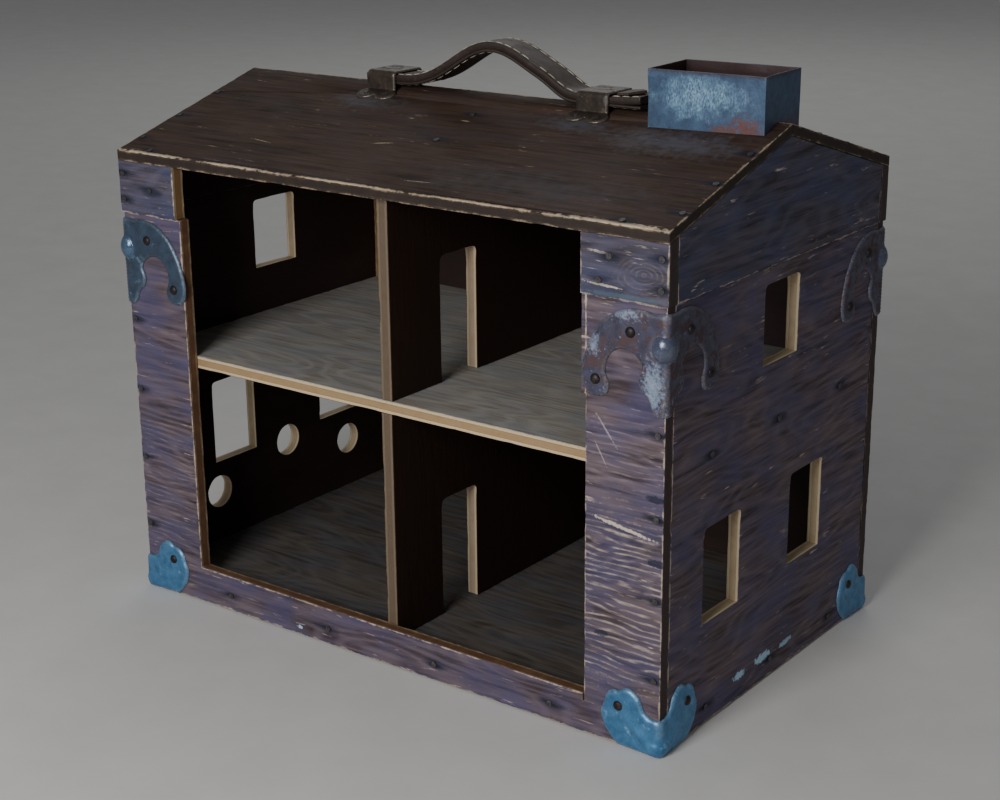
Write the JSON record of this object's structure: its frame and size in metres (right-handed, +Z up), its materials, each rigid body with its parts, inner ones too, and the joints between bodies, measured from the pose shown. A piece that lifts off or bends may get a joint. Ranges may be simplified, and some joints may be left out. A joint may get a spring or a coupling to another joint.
{
  "type": "dollhouse",
  "caption": "Open-fronted plywood dollhouse with rooms on upper and lower floors, side windows, inner doorways, pitched roof, sheet-metal chimney and a leather carrying strap.",
  "frame": {"origin": "middle of the footprint at the undersides of the metal foot corners, on the floor", "axes": "+X along the width towards the chimney end, +Y from the open front to the back, +Z up"},
  "size_m": [0.48, 0.298, 0.4251],
  "materials": {
    "stained_plywood_body": "dark brown stain with a worn purple wash and pale scuffed edges",
    "stained_plywood_band": "dark brown stain, scuffed",
    "weathered_plywood_roof": "dark grey brown, weathered and scratched",
    "bare_plywood_floor": "bare plywood, faintly grey",
    "brown_plywood_partition": "brown plywood with pale sawn edges",
    "pine_batten": "rough sawn pine",
    "galvanised_sheet": "galvanised sheet with white bloom and rust",
    "dark_iron": "dark iron nail and rivet heads",
    "tarnished_steel": "tarnished stamped steel",
    "blued_steel": "blue painted stamped steel, worn",
    "rusted_steel": "rusted stamped steel",
    "brown_leather": "worn brown leather with pale stitching"
  },
  "bodies": {
    "house": {"front_frame": "stained_plywood_body", "left_wall": "stained_plywood_body", "right_wall": "stained_plywood_body", "back_panel": "stained_plywood_body", "front_cap_left": "stained_plywood_band", "front_cap_right": "stained_plywood_band", "left_gable": "stained_plywood_band", "right_gable": "stained_plywood_band", "back_band": "stained_plywood_band", "roof_front": "weathered_plywood_roof", "roof_rear": "weathered_plywood_roof", "upper_floor": "bare_plywood_floor", "base_board": "bare_plywood_floor", "upper_partition": "brown_plywood_partition", "lower_partition": "brown_plywood_partition", "front_batten_left": "pine_batten", "front_batten_right": "pine_batten", "rear_batten_left": "pine_batten", "rear_batten_right": "pine_batten", "chimney_sleeve": "galvanised_sheet", "chimney_nails": "dark_iron", "loop_nails": "dark_iron", "clamp_rivets": "dark_iron", "foot_rivets": "dark_iron", "frame_nails": "dark_iron", "cap_nails": "dark_iron", "back_nails": "dark_iron", "wall_nails": "dark_iron", "roof_nails": "dark_iron", "handle_loop_left": "tarnished_steel", "handle_loop_right": "tarnished_steel", "corner_clamp_front_left": "blued_steel", "corner_clamp_rear_left": "blued_steel", "foot_corner_front_left": "blued_steel", "foot_corner_front_right": "blued_steel", "foot_corner_rear_left": "blued_steel", "foot_corner_rear_right": "blued_steel", "corner_clamp_front_right": "rusted_steel", "corner_clamp_rear_right": "rusted_steel"},
    "handle": {"strap_facing": "brown_leather", "strap_lining": "brown_leather", "strap_tip": "brown_leather"}
  },
  "joints": [
    {"name": "strap_slide", "type": "slide", "parent": "house", "child": "handle", "axis": [1, 0, 0], "range_m": [-0.0024, 0.004]}
  ]
}
